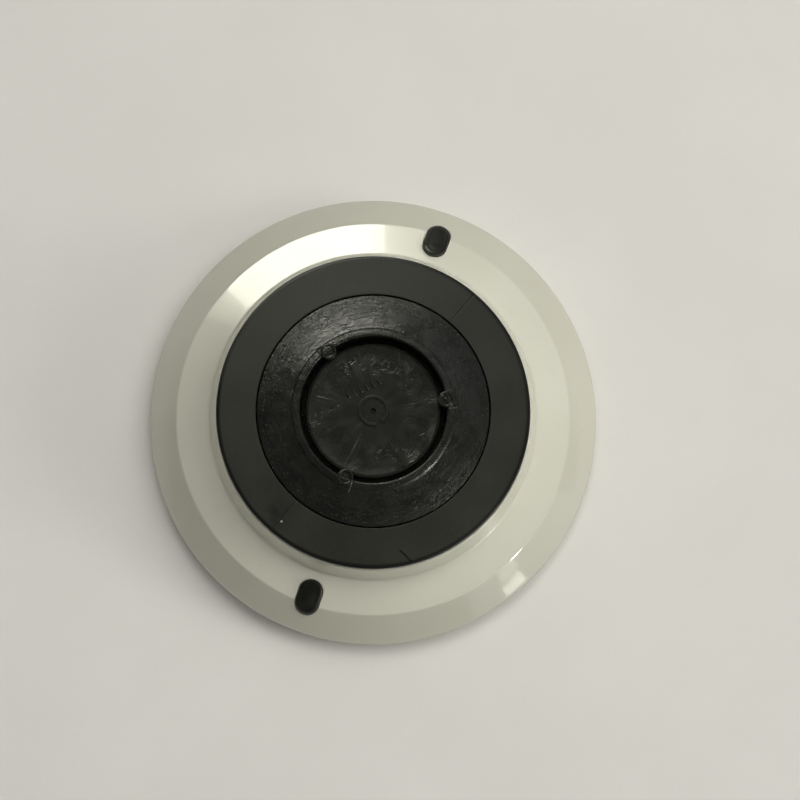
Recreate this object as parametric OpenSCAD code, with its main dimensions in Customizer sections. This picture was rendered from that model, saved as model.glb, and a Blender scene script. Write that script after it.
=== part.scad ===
// Point heat detector: a plug-in head with a thermistor under a recessed disc, on a twist-lock base.
// The back of the base lies on z = 0, and the head faces +Z. All sizes are in millimetres.

/* [Head cover] */
// Outer diameter of the head
head_d = 100; // [98:0.5:103]
// Height of the lower edge of the rim above the mounting surface
rim_z = 3; // [2.6:0.1:3.4]
// Height of the top edge of the upright rim
edge_z = 8; // [7.8:0.1:8.4]
// Diameter of the crease between the bevel and the band
crease_d = 87.2; // [86.8:0.1:87.8]
// Height of the crease
crease_z = 14; // [13.8:0.1:14.4]
// Diameter at the foot of the neck
valley_d = 72.2; // [71.8:0.1:72.8]
// Height of the foot of the neck
valley_z = 16.8; // [16.4:0.1:17]
// Diameter at the top of the neck
neck_d = 68.4; // [68.2:0.1:69]
// Height of the top of the neck
neck_z = 25; // [24.5:0.1:25.5]
// Wall thickness of the cover
wall = 2; // [1.8:0.1:2.2]

/* [Sensor cap] */
// Outer diameter of the matte sensor ring
ring_d = 67.8; // [67:0.1:68]
// Height of the ring above the neck
ring_h = 3; // [2.8:0.1:3.4]
// Diameter of the seam between the ring and the cone
seam_d = 50; // [49:0.5:51]
// Width of the seam between the ring and the cone
seam_gap = 0.5; // [0.3:0.1:0.6]
// Height of the cone's lip above the neck
lip_h = 7.6; // [7.4:0.1:7.9]
// Diameter of the well inside the lip
well_d = 31.4; // [31:0.1:32]
// Diameter of the heat disc
disc_d = 28.9; // [28:0.1:29.1]
// Depth of the disc's face below the lip
disc_drop = 3.5; // [3:0.1:3.8]
// Diameter of the posts that carry the disc
post_d = 3.5; // [3:0.1:3.8]
// Azimuth of the first post
post_turn = 7.8; // [0:0.1:15]

/* [Light pipes] */
// Length of a light pipe's oval face
pipe_l = 7.7; // [7:0.1:8]
// Width of a light pipe's oval face
pipe_w = 5.4; // [5:0.1:5.8]
// Azimuth of the first light pipe
pipe_turn = 70.4; // [66:0.2:74]
// Distance of a light pipe's centre from the axis
pipe_r = 42.1; // [41.8:0.1:42.5]

/* [Mounting base] */
// Outer diameter of the base
base_d = 93.6; // [92:0.1:94]
// Thickness of the base's floor
floor_t = 2; // [1.8:0.1:2.2]
// Diameter of the cable entry
entry_d = 22; // [18:1:24]
// Distance between the two fixing slots
slot_spacing = 60; // [56:1:61]
// Width of a fixing slot
slot_w = 4.5; // [4:0.1:5]
// Length of a fixing slot
slot_l = 11; // [8:0.5:12]
// Turn from locked to released
unlock_turn = 20; // [16:1:20]

/* [Electronics] */
// Diameter of the circuit board
board_d = 82; // [78:1:82]
// Thickness of the circuit board
board_t = 1.6; // [1:0.1:1.6]
// Diameter of the thermistor bead
bead_d = 2.4; // [1.8:0.1:2.6]

/* [Hidden] */
TERMINALS = 4;
PIPES = 2;
numbered = function (name, count) [for (i = [1:count]) str(name, "_", i)];
$fn = 96;

WHITE = [0.86, 0.85, 0.79];
BLACK = [0.10, 0.10, 0.10];
SMOKE = [0.16, 0.15, 0.14, 0.9];
STEEL = [0.70, 0.71, 0.72];
BRASS = [0.80, 0.68, 0.38];
GREEN = [0.10, 0.36, 0.20];

head_r = head_d / 2;
crease_r = crease_d / 2;
valley_r = valley_d / 2;
neck_r = neck_d / 2;
ring_r = ring_d / 2;
seam_r = seam_d / 2;
well_r = well_d / 2;
disc_r = disc_d / 2;
base_r = base_d / 2;

// Slopes of the bevel and of the band, from the horizontal
bevel_slope = atan2(crease_z - edge_z, head_r - crease_r);
band_slope = atan2(valley_z - crease_z, crease_r - valley_r);
// Heights of their inner faces, one wall thickness behind the outer ones
function bevel_inner_z(r) = edge_z + (head_r - r) * tan(bevel_slope) - wall / cos(bevel_slope);
function band_inner_z(r) = crease_z + (crease_r - r) * tan(band_slope) - wall / cos(band_slope);
// Radius of the inner corner under the crease, where the two inner faces meet
inner_crease_r = (bevel_inner_z(0) - band_inner_z(0)) / (tan(bevel_slope) - tan(band_slope));
skirt_in_r = head_r - wall - 0.2;

// The shelf at the top of the neck, which carries the sensor cap
shelf_t = 2;
shelf_r = 27;

// Height of a light pipe's dome above the crease
pipe_proud = 1;

// Levels of the sensor cap
cap_z = neck_z;
flange_t = 1.3;
lip_z = cap_z + lip_h;
disc_z = lip_z - disc_drop;
disc_t = 1.5;
ring_edge_z = cap_z + ring_h;
ring_rise = 1.3;
lip_r = 1;
cone_t = 1.6;
well_floor_z = cap_z - 5;
carrier_r = 5;
post_r = post_d / 2;
gate_h = 0.15;
POST_ANGLES = [for (i = [0:2]) post_turn + 120 * i];

// Levels of the head's inside
chassis_z = 7.4;
chassis_t = 1.6;
chassis_r = 45.4;
board_z = 9.9;
board_top = board_z + board_t;
boss_r = 3;
boss_ring_r = 30;
CHASSIS_SCREW_ANGLES = [80, 200, 320];
CONE_SCREW_ANGLES = [20, 140, 260];
cone_screw_r = 29.2;
STANDOFF_ANGLES = [30, 150, 270];
standoff_ring_r = 35.5;
lamp_r = 39.4;

// The bayonet: lugs on the head pass under flanges on the base
LUG_ANGLES = [90, 205, 330];
lug_span = 14;
lug_z = 3.4;
lug_t = 1.5;
lug_r = 42.4;
bayonet_r = 38;
bayonet_wall = 2;
flange_z = 5.2;
base_top = 6.8;
base_wall = 2;
flange_span = 17;
flange_r = bayonet_r + 0.6;
stop_r = bayonet_r + 1;
stop_span = 2.5;
stop_from = lug_span / 2 + 0.3;

// Terminals
TERMINAL_ANGLES = [45, 135, 225, 315];
terminal_r = 30.5;
pedestal_w = 9;
pedestal_z = 3.2;
strip_t = 0.6;
strip_w = 6;
touch_r = 21;
touch_z = 6.1;
touch_gap = 0.1;
pin_r = 0.8;

// Unit vector
function unit(v) = v / norm(v);

// Points that round the corner b, between a and c, with radius r
function rounded(a, b, c, r, steps = 6) =
    let (u = unit(a - b), v = unit(c - b), half = acos(u * v) / 2,
         m = b + unit(u + v) * r / sin(half),
         p = b + u * r / tan(half), q = b + v * r / tan(half),
         first = atan2(p.y - m.y, p.x - m.x), last = atan2(q.y - m.y, q.x - m.x),
         sweep = (last - first + 540) % 360 - 180)
    [for (i = [0:steps]) m + r * [cos(first + sweep * i / steps), sin(first + sweep * i / steps)]];

// A closed outline whose corners each have a radius, given as [x, y, radius]
function outline(corners) =
    let (n = len(corners), p = [for (c = corners) [c.x, c.y]])
    [for (i = [0:n - 1])
        each corners[i].z == 0 ? [p[i]] : rounded(p[(i + n - 1) % n], p[i], p[(i + 1) % n], corners[i].z)];

// A solid of revolution from corners given as [radius, height, rounding]
module turned(corners) {
    rotate_extrude() polygon(outline(corners));
}

// A straight tube
module tube(r_out, r_in, h) {
    difference() {
        cylinder(h = h, r = r_out);
        translate([0, 0, -1]) cylinder(h = h + 2, r = r_in);
    }
}

// A sector of a flat ring between two azimuths
module ring_sector(r_in, r_out, h, from, to) {
    rotate([0, 0, from]) rotate_extrude(angle = to - from)
        translate([r_in, 0]) square([r_out - r_in, h]);
}

// A prism with two round ends, lying along X
module slot_prism(l, w, h) {
    for (s = [-1, 1]) translate([s * (l - w) / 2, 0, 0]) cylinder(h = h, r = w / 2);
    translate([-(l - w) / 2, -w / 2, 0]) cube([l - w, w, h]);
}

// Children placed at an azimuth and a distance from the axis
module at(angle, r = 0, z = 0) {
    rotate([0, 0, angle]) translate([r, 0, z]) children();
}

// Children placed on the crease at a light pipe, with their Z along the outward normal there
module on_crease(i) {
    rotate([0, 0, pipe_turn + 180 * (i - 1)])
        translate([pipe_r, 0, crease_z + (crease_r - pipe_r) * tan(band_slope)])
            rotate([0, (bevel_slope + band_slope) / 2, 0]) children();
}

// ---- Head ----

// White outer shell: rim, bevel, band and neck in one moulding, with the bosses for the chassis screws
module head_cover() {
    color(WHITE) difference() {
        union() {
            turned([
                [head_r, rim_z, 0.4], [head_r, edge_z, 1], [crease_r, crease_z, 1.6],
                [valley_r, valley_z, 0.8], [neck_r, neck_z, 0.3], [shelf_r, neck_z, 0],
                [shelf_r, neck_z - shelf_t, 0], [neck_r - wall, neck_z - shelf_t, 0],
                [valley_r - wall, band_inner_z(valley_r - wall), 0],
                [inner_crease_r, band_inner_z(inner_crease_r), 0],
                [skirt_in_r, bevel_inner_z(skirt_in_r), 0], [skirt_in_r, rim_z, 0.4]]);
            for (a = CHASSIS_SCREW_ANGLES) at(a, boss_ring_r, board_z + 0.05)
                cylinder(h = neck_z - shelf_t / 2 - board_z, r = boss_r);
        }
        for (a = CHASSIS_SCREW_ANGLES) at(a, boss_ring_r, board_z - 1) cylinder(h = 10.5, r = 1.45, $fn = 32);
        for (a = CONE_SCREW_ANGLES) at(a, cone_screw_r, neck_z - 5) cylinder(h = 6, r = 1.25, $fn = 32);
        for (i = [1:PIPES]) at(pipe_turn + 180 * (i - 1), pipe_r, edge_z)
            slot_prism(pipe_l + 0.1, pipe_w + 0.1, crease_z);
    }
}

// Matte black ring that covers the edge of the sensor cap
module sensor_ring() {
    top_in = ring_edge_z + ring_rise;
    inner = seam_r + seam_gap / 2;
    color(BLACK) turned([
        [ring_r, cap_z + 0.02, 0.3], [ring_r, ring_edge_z, 0.7], [inner, top_in, 0.3],
        [inner, top_in - cone_t, 0], [ring_r - cone_t, ring_edge_z - cone_t, 0],
        [ring_r - cone_t, cap_z + 0.02, 0]]);
}

// Glossy black moulding: flange, cone, lip and the well that holds the thermistor
module sensor_cone() {
    outer = seam_r - seam_gap / 2;
    shoulder_z = ring_edge_z + ring_rise;
    lip_mid = well_r + lip_r;
    color(BLACK) difference() {
        union() {
            turned([
                [ring_r - 2, cap_z, 0], [ring_r - 2, cap_z + flange_t, 0], [outer, cap_z + flange_t, 0],
                [outer, shoulder_z, 0.3], [lip_mid + 1.2, lip_z - 0.75, 1.2], [lip_mid + 0.2, lip_z, 0.8],
                [well_r, lip_z, 0.8], [well_r, well_floor_z + 1.5, 0], [carrier_r, well_floor_z + 1.5, 0],
                [carrier_r, well_floor_z, 0], [well_r + cone_t, well_floor_z, 0],
                [well_r + cone_t, lip_z - 2.9, 1], [outer - cone_t, shoulder_z - cone_t, 0.5],
                [outer - cone_t, cap_z, 0]]);
            for (a = POST_ANGLES) at(a, well_r, disc_z - 4.5) cylinder(h = 5.2, r = post_r + cone_t);
            for (a = CONE_SCREW_ANGLES) at(a, cone_screw_r, cap_z)
                cylinder(h = flange_t + 0.2, r = 2.2, $fn = 48);
        }
        for (a = POST_ANGLES) at(a, well_r, disc_z - 3) cylinder(h = 12, r = post_r + 0.05, $fn = 48);
        translate([0, 0, disc_z - 6]) cylinder(h = 6 + disc_drop, r = well_r);
        for (a = CONE_SCREW_ANGLES) at(a, cone_screw_r, cap_z - 1) cylinder(h = 2.3, r = 0.95, $fn = 32);
    }
}

// Recessed centre disc that shields the thermistor, with the three posts that clip it into the lip
module heat_disc() {
    color(BLACK) difference() {
        union() {
            translate([0, 0, disc_z - disc_t]) cylinder(h = disc_t, r = disc_r);
            for (a = POST_ANGLES) {
                at(a, well_r, disc_z - 2.9) cylinder(h = lip_z - disc_z + 2.9, r = post_r, $fn = 48);
                at(a, disc_r - 1.5, disc_z - disc_t + 0.2) translate([0, -1, 0]) cube([2.5, 2, 0.9]);
            }
            translate([0, 0, disc_z - 0.2]) cylinder(h = 0.2 + gate_h, r = 0.45, $fn = 32);
        }
        for (a = POST_ANGLES) at(a, well_r, lip_z - 0.2) {
            cylinder(h = 1, r = post_r - 0.4, $fn = 48);
            translate([0, 0, -0.3]) cylinder(h = 1, r = 0.4, $fn = 32);
        }
    }
}

// Rubber ring that seals the joint between the cone's flange and the cover's shelf
module well_seal() {
    color([0.2, 0.2, 0.2]) translate([0, 0, neck_z - shelf_t / 2 - 0.1])
        rotate_extrude() translate([shelf_r - 1.1, 0]) circle(r = 1, $fn = 32);
}

// Smoked light pipe: an upright oval rod that fills its hole in the crease, with a domed top and a flat end
module light_pipe(i) {
    dome_r = 5;
    half = (pipe_l - pipe_w) / 2 + 0.6;
    color(SMOKE) difference() {
        intersection() {
            at(pipe_turn + 180 * (i - 1), pipe_r, edge_z) slot_prism(pipe_l, pipe_w, crease_z);
            on_crease(i) translate([0, 0, pipe_proud - dome_r]) {
                for (s = [-half, half]) translate([s, 0, 0]) sphere(r = dome_r);
                rotate([0, 90, 0]) cylinder(h = 2 * half, r = dome_r, center = true);
            }
        }
        on_crease(i) translate([-10, -10, -wall - 10.2]) cube([20, 20, 10]);
    }
}

// Surface-mounted red lamp under a light pipe
module indicator_lamp(i) {
    color([0.75, 0.12, 0.1]) at(pipe_turn + 180 * (i - 1), lamp_r, board_top) {
        translate([-0.8, -1.6, 0]) cube([1.6, 3.2, 0.5]);
        translate([-0.6, -1, 0.5]) cube([1.2, 2, 0.4]);
    }
}

// Plate that closes the back of the head and carries the board, the contacts and the bayonet ring
module rear_chassis() {
    color(WHITE) difference() {
        union() {
            translate([0, 0, chassis_z]) cylinder(h = chassis_t, r = chassis_r);
            translate([0, 0, lug_z]) tube(bayonet_r, bayonet_r - bayonet_wall, chassis_z - lug_z + 0.5);
            for (a = LUG_ANGLES) at(a, 0, lug_z)
                ring_sector(bayonet_r - 1, lug_r, lug_t, -lug_span / 2, lug_span / 2);
            for (a = CHASSIS_SCREW_ANGLES) at(a, boss_ring_r, chassis_z + 0.5)
                cylinder(h = board_z - chassis_z - 0.5, r = 4.2);
            for (a = STANDOFF_ANGLES) at(a, standoff_ring_r, chassis_z + 0.5)
                cylinder(h = board_z - chassis_z - 0.5, r = 2, $fn = 32);
            translate([0, 0, chassis_z + 0.5]) tube(8, 6.6, board_z - chassis_z - 0.5);
        }
        for (a = CHASSIS_SCREW_ANGLES) at(a, boss_ring_r, chassis_z - 1) {
            cylinder(h = 2.9, r = 3.1, $fn = 48);
            cylinder(h = 9, r = 1.6, $fn = 32);
        }
        for (a = TERMINAL_ANGLES) at(a, touch_r + 4.5, chassis_z - 1)
            cylinder(h = chassis_t + 2, r = pin_r + 0.1, $fn = 32);
    }
}

// Three self-tapping screws that hold the chassis to the cover's bosses
module chassis_screws() {
    color(STEEL) for (a = CHASSIS_SCREW_ANGLES) at(a, boss_ring_r, chassis_z + 0.1) difference() {
        union() {
            cylinder(h = 1.8, r = 2.8, $fn = 48);
            cylinder(h = 11.2, r = 1.4, $fn = 32);
        }
        cross_recess(2.6, 0.9);
    }
}

// Cross slot for a screwdriver, cut upwards from z = 0
module cross_recess(l, depth) {
    for (turn = [0, 90]) rotate([0, 0, turn]) translate([-l / 2, -0.3, -0.5]) cube([l, 0.6, depth + 0.5]);
}

// Three small screws that hold the sensor cone down on the cover's shelf
module cone_screws() {
    color(STEEL) for (a = CONE_SCREW_ANGLES) at(a, cone_screw_r, neck_z - shelf_t - 1.3) difference() {
        union() {
            cylinder(h = 1.3, r = 2, $fn = 48);
            cylinder(h = 4.4, r = 0.9, $fn = 32);
        }
        cross_recess(2, 0.7);
    }
}

// Round board with clearance for the screw bosses and the leads
module circuit_board() {
    color(GREEN) difference() {
        translate([0, 0, board_z + 0.02]) cylinder(h = board_t - 0.02, r = board_d / 2);
        for (a = CHASSIS_SCREW_ANGLES) at(a, boss_ring_r, board_z - 1)
            cylinder(h = 4, r = boss_r + 0.4, $fn = 48);
        for (a = TERMINAL_ANGLES) at(a, touch_r + 4.5, board_z - 1)
            cylinder(h = 4, r = pin_r + 0.05, $fn = 32);
        for (s = [-1, 1]) translate([s * 0.8, 0, board_z - 1]) cylinder(h = 4, r = 0.4, $fn = 24);
    }
}

// Flat chip package with leads on four sides
module microcontroller() {
    body = 7;
    pitch = 0.8;
    color(BLACK) at(180, 14, board_top) {
        translate([-body / 2, -body / 2, 0.15]) cube([body, body, 1.25]);
        for (turn = [0:90:270], k = [-3:3]) rotate([0, 0, turn])
            translate([body / 2 - 0.1, k * pitch - 0.15, 0]) cube([1.1, 0.3, 0.3]);
    }
}

// Four-lead bridge rectifier beside the terminals
module bridge_rectifier() {
    color(BLACK) at(270, 17, board_top) {
        translate([-2.4, -2, 0.2]) cube([4.8, 4, 2.3]);
        for (x = [-1.3, 1.3], side = [-1, 1])
            translate([x - 0.35, side * 2.45 - 0.55, 0]) cube([0.7, 1.1, 0.3]);
    }
}

// Voltage regulator with a wide tab and three leads
module voltage_regulator() {
    color(BLACK) at(0, 19, board_top) {
        translate([-1.75, -3.25, 0.1]) cube([3.5, 6.5, 1.6]);
        translate([1.6, -1.5, 0]) cube([1.8, 3, 0.25]);
        for (y = [-2.3, 0, 2.3]) translate([-3.4, y - 0.35, 0]) cube([1.8, 0.7, 0.25]);
    }
}

// Surge suppressor block across the supply
module surge_suppressor() {
    color(BLACK) at(60, 15, board_top) {
        translate([-2.3, -1.8, 0.1]) cube([4.6, 3.6, 2.2]);
        for (side = [-1, 1]) translate([side * 2.6 - 0.5, -1, 0]) cube([1, 2, 0.4]);
    }
}

// Upright electrolytic capacitor that smooths the supply
module smoothing_capacitor() {
    color(STEEL) at(110, 17, board_top) turned([
        [0, 0, 0], [3.15, 0, 0.2], [3.15, 1.2, 0.2], [2.9, 1.5, 0.2], [3.15, 1.8, 0.2],
        [3.15, 8, 0.4], [0, 8, 0]]);
}

// Small resistors and capacitors in two arcs
module chip_components() {
    color([0.45, 0.40, 0.34]) {
        for (a = [150:12:210]) at(a, 23.5, board_top) translate([-0.6, -1, 0]) cube([1.2, 2, 0.6]);
        for (a = [285:11:340]) at(a, 14, board_top) translate([-0.6, -1, 0]) cube([1.2, 2, 0.6]);
    }
}

// Temperature-sensing bead in the air just under the disc
module thermistor_bead() {
    color([0.12, 0.12, 0.13]) translate([0, 0, disc_z - disc_t - 0.5 - bead_d / 2]) sphere(r = bead_d / 2);
}

// Two wire leads from the board up to the bead
module thermistor_leads() {
    top = disc_z - disc_t - 0.5 - bead_d + 0.6;
    color(STEEL) for (s = [-1, 1]) translate([s * 0.8, 0, board_z - 0.6])
        cylinder(h = top - board_z + 0.6, r = 0.3, $fn = 24);
}

// Insulating plug that closes the well and holds the leads upright
module thermistor_carrier() {
    color([0.72, 0.70, 0.64]) difference() {
        turned([
            [0, board_top + 0.05, 0], [2.6, board_top + 0.05, 0], [2.6, well_floor_z - 1.6, 0],
            [carrier_r + 1.5, well_floor_z - 1.6, 0.3], [carrier_r + 1.5, well_floor_z - 0.02, 0],
            [carrier_r - 0.05, well_floor_z - 0.02, 0], [carrier_r - 0.05, well_floor_z + 1.5, 0.3],
            [1.8, well_floor_z + 2.2, 0.5], [0, well_floor_z + 2.2, 0]]);
        for (s = [-1, 1]) translate([s * 0.8, 0, board_z]) cylinder(h = 30, r = 0.35, $fn = 24);
    }
}

// Sprung blade under the chassis with a pin up into the board
module head_contact(i) {
    sweep = unlock_turn;
    color(BRASS) at(TERMINAL_ANGLES[i - 1], 0, touch_z + touch_gap) {
        ring_sector(touch_r - 2, touch_r + 2, 0.6, -sweep - 6, 7);
        translate([touch_r + 1, -2.5, 0.4]) cube([1, 5, chassis_z - touch_z - touch_gap - 0.4 - 0.02]);
        translate([touch_r + 1, -2.5, chassis_z - touch_z - touch_gap - 0.52]) cube([6, 5, 0.5]);
        translate([touch_r + 4.5, 0, chassis_z - touch_z - touch_gap - 0.4])
            cylinder(h = board_top - chassis_z + 1.2, r = pin_r, $fn = 32);
    }
}

// ---- Base ----

// White base: floor with cable entry and fixing slots, wall, bayonet flanges, stops and pedestals
module mounting_base() {
    color(WHITE) difference() {
        union() {
            turned([
                [0, 0, 0], [base_r, 0, 0.5], [base_r, base_top, 0.4], [base_r - base_wall, base_top, 0],
                [base_r - base_wall, floor_t, 0.5], [0, floor_t, 0]]);
            translate([0, 0, 0.5]) cylinder(h = 3.2, r = entry_d / 2 + 2);
            for (a = LUG_ANGLES) at(a, 0, 0) {
                bayonet_block(flange_r, flange_z, base_top - 0.5, -flange_span / 2, flange_span / 2);
                bayonet_block(stop_r, floor_t - 0.5, base_top - 0.8, -stop_from - stop_span, -stop_from);
                bayonet_block(stop_r, floor_t - 0.5, lug_z + lug_t,
                    stop_from + unlock_turn, stop_from + unlock_turn + stop_span);
            }
            for (a = TERMINAL_ANGLES) at(a, terminal_r, 0) translate([-4, -pedestal_w / 2, 0.5])
                cube([8, pedestal_w, pedestal_z - 0.5]);
            for (s = [0, 180]) at(s, slot_spacing / 2, 0.5) slot_prism(slot_l + 4, slot_w + 4, 2.3);
        }
        translate([0, 0, -1]) cylinder(h = 8, r = entry_d / 2);
        for (s = [-1, 1]) translate([s * slot_spacing / 2, 0, -1]) slot_prism(slot_l, slot_w, 8);
        for (a = TERMINAL_ANGLES) at(a, terminal_r, 0.6) cylinder(h = 6, r = 1.55, $fn = 32);
        back_relief();
    }
}

// Block from the radius r_in out into the base's wall, between two levels and two azimuths
module bayonet_block(r_in, low, high, from, to) {
    translate([0, 0, low]) ring_sector(r_in, base_r - 1, high - low, from, to);
}

// Shallow relief in the back of the base, between its outer land, its slot pads and its ribs
module back_relief() {
    relief = 0.8;
    difference() {
        translate([0, 0, -1]) tube(base_r - 4, entry_d / 2 + 3, 1 + relief);
        for (s = [0, 180]) at(s, slot_spacing / 2, -2) slot_prism(slot_l + 5, slot_w + 5, 4);
        for (a = TERMINAL_ANGLES) at(a, terminal_r, -2) cylinder(h = 4, r = 3.5, $fn = 48);
        for (a = [22.5:45:337.5]) at(a, entry_d / 2, -2) translate([0, -0.75, 0]) cube([base_r, 1.5, 4]);
    }
}

// Contact strip: a pad under the terminal screw and a sprung finger towards the axis
module base_contact(i) {
    bend_r = terminal_r - 4.5;
    rise = touch_z - pedestal_z - strip_t;
    reach = bend_r - touch_r;
    lean = atan2(rise, reach);
    color(STEEL) at(TERMINAL_ANGLES[i - 1], 0, pedestal_z) difference() {
        union() {
            translate([bend_r, -strip_w / 2, 0]) cube([9, strip_w, strip_t]);
            translate([bend_r, 0, strip_t / 2]) rotate([0, lean, 0])
                translate([-norm([rise, reach]), -strip_w / 2 + 1, -strip_t / 2])
                    cube([norm([rise, reach]), strip_w - 2, strip_t]);
            translate([bend_r, 0, strip_t / 2]) rotate([90, 0, 0])
                cylinder(h = strip_w - 2, r = strip_t / 2, center = true, $fn = 24);
        }
        translate([terminal_r, 0, -1]) cylinder(h = 3, r = 1.65, $fn = 32);
    }
}

// Four pan-head screws, one on each contact strip
module terminal_screws() {
    color(STEEL) for (a = TERMINAL_ANGLES) at(a, terminal_r, 0) difference() {
        union() {
            translate([0, 0, 0.8]) cylinder(h = 5, r = 1.5, $fn = 32);
            translate([0, 0, pedestal_z + strip_t + 0.9]) cylinder(h = 1.9, r = 2.9, $fn = 48);
        }
        translate([0, 0, pedestal_z + strip_t + 2.8]) rotate([180, 0, 0]) cross_recess(3, 0.9);
    }
}

// Four square washers that clamp the wires under the screw heads
module clamp_washers() {
    color(STEEL) for (a = TERMINAL_ANGLES) at(a, terminal_r, pedestal_z + strip_t) difference() {
        translate([-3.2, -3.2, 0]) cube([6.4, 6.4, 0.88]);
        translate([0, 0, -1]) cylinder(h = 3, r = 1.65, $fn = 32);
        for (s = [-1, 1]) translate([-4, s * 2.3, 0]) rotate([0, 90, 0]) cylinder(h = 8, r = 0.5, $fn = 24);
    }
}

head_cover();
sensor_ring();
sensor_cone();
heat_disc();
well_seal();
for (i = [1:PIPES]) {
    light_pipe(i);
    indicator_lamp(i);
}
rear_chassis();
chassis_screws();
cone_screws();
circuit_board();
microcontroller();
bridge_rectifier();
voltage_regulator();
surge_suppressor();
smoothing_capacitor();
chip_components();
thermistor_bead();
thermistor_leads();
thermistor_carrier();
mounting_base();
terminal_screws();
clamp_washers();
for (i = [1:TERMINALS]) {
    head_contact(i);
    base_contact(i);
}
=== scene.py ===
"""Looks of the heat detector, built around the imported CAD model.

Lengths are in millimetres until they reach a mesh, a light or the camera, which are in metres.
Azimuths are in degrees, from +X towards +Y. The back lies on z = 0 and the head faces +Z.
"""
import math

import bmesh
import bpy
from mathutils import Matrix, Vector, noise


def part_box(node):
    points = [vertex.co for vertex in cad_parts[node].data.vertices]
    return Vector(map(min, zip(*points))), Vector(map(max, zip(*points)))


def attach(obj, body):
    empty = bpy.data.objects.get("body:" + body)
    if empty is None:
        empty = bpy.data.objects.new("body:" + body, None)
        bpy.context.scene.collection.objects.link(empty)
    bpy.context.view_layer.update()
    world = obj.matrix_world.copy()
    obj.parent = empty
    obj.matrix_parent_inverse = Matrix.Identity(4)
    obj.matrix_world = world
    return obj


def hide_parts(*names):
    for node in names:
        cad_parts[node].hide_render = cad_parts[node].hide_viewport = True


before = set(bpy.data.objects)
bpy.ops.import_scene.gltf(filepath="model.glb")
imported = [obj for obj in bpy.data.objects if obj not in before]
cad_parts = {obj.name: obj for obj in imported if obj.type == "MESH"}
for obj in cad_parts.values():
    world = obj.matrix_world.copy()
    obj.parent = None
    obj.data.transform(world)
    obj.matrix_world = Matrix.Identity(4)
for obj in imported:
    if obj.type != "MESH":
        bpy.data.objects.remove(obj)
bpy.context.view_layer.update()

MM = 0.001
scene = bpy.context.scene


# ---- Sizes: the overall ones come from the frame's nodes, the corners between them are the part's own ----

def low(node):
    """A node's lowest corner, in millimetres."""
    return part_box(node)[0] / MM


def high(node):
    """A node's highest corner, in millimetres."""
    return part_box(node)[1] / MM


# Head cover
HEAD_R = high("head_cover").x
RIM_Z = low("head_cover").z
NECK_Z = high("head_cover").z
EDGE_Z = RIM_Z + 5
CREASE_R, CREASE_Z = 43.6, 14.0
VALLEY_R, VALLEY_Z = 36.1, 16.8
NECK_R = 34.2
WALL = 2.0
SHELF_R, SHELF_T = 27.0, 2.0
SKIRT_R = HEAD_R - WALL - 0.2
BEVEL_TAN = (CREASE_Z - EDGE_Z) / (HEAD_R - CREASE_R)
BAND_TAN = (VALLEY_Z - CREASE_Z) / (CREASE_R - VALLEY_R)
BEVEL_CROWN = 0.045
CREASE_BEND = 1.3
RIM_LIP = 0.6
RIM_ROUNDING = 0.4
BOSS_R, BOSS_HOLE_R, BOSS_RING_R = 3.0, 1.45, 30.0
BOSS_AZIMUTHS = (80, 200, 320)
BOSS_LOW_Z = high("circuit_board").z - 1.55

# Light pipes: upright oval rods in the crease
PIPE_R = 42.1
PIPE_AZIMUTHS = {"light_pipe_1": 70.4, "light_pipe_2": 250.4}
PIPE_L, PIPE_W = 7.8, 5.3
PIPE_GAP = 0.09
PIPE_PROUD = 0.8
PIPE_DEPTH = 2.2
PIPE_DOME_R = 9.0
PIPE_EDGE_R = 0.45
PIPE_TILT = (math.atan(BEVEL_TAN) + math.atan(BAND_TAN)) / 2
PIPE_FOOT_Z = CREASE_Z + (CREASE_R - PIPE_R) * BAND_TAN
PIPE_DISH, DISH_EDGE, DISH_SLOPE = 0.11, 0.86, 0.12
HOLE_EDGE_R = 0.22

# Sensor cap
RING_R = high("sensor_ring").x
RING_LOW_Z = low("sensor_ring").z
RING_EDGE_Z = NECK_Z + 3
SEAM_IN_R, SEAM_OUT_R = 24.93, 25.25
SEAM_Z = RING_EDGE_Z + 1.3
WELD_AZIMUTHS = (49.5, 229.5)
WELD_DEPTH, WELD_HALF = 0.16, 0.25
SCRATCH_PLACES = ((30.4, -79.4), (31.8, -77.4), (33.4, -75.8))
FLANGE_R = high("sensor_cone").x
FLANGE_T = 1.3
WELL_R = 15.7
WELL_FLOOR_Z = low("sensor_cone").z
CARRIER_R = 5.0
LIP_Z = high("heat_disc").z
CAP_WALL = 1.6
CONE_LIP_Z = LIP_Z - 0.14
DISC_R = high("heat_disc").y
DISC_Z = LIP_Z - 3.5
DISC_T = 1.5
POST_R = 1.75
POST_AZIMUTHS = (7.8, 127.8, 247.8)
POST_DEPTH = 2.9

# Fineness of the refined shells
COLUMNS = 360
FINE_COLUMNS = 480
ROW_STEP = 0.5
SHARP_ANGLE = math.radians(38)
NEARLY_ZERO = 1e-4


# ---- Mesh code ----

class Shape:
    """Vertices and faces gathered for one piece. A vertex is in millimetres."""

    def __init__(self):
        self.verts = []
        self.faces = []

    def add(self, verts, faces, place=Matrix.Identity(4)):
        first = len(self.verts)
        self.verts += [place @ Vector(v) for v in verts]
        self.faces += [tuple(first + i for i in face) for face in faces]


def mesh_object(name, shape):
    """An object with the shape's mesh in metres, its double vertices merged and its faces turned outwards."""
    mesh = bpy.data.meshes.new(name)
    mesh.from_pydata([Vector(v) * MM for v in shape.verts], [], shape.faces)
    bm = bmesh.new()
    bm.from_mesh(mesh)
    bmesh.ops.remove_doubles(bm, verts=bm.verts, dist=1e-7)
    bmesh.ops.dissolve_degenerate(bm, edges=bm.edges, dist=1e-8)
    bmesh.ops.recalc_face_normals(bm, faces=bm.faces)
    bm.to_mesh(mesh)
    bm.free()
    made = bpy.data.objects.new(name, mesh)
    scene.collection.objects.link(made)
    return made


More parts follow.
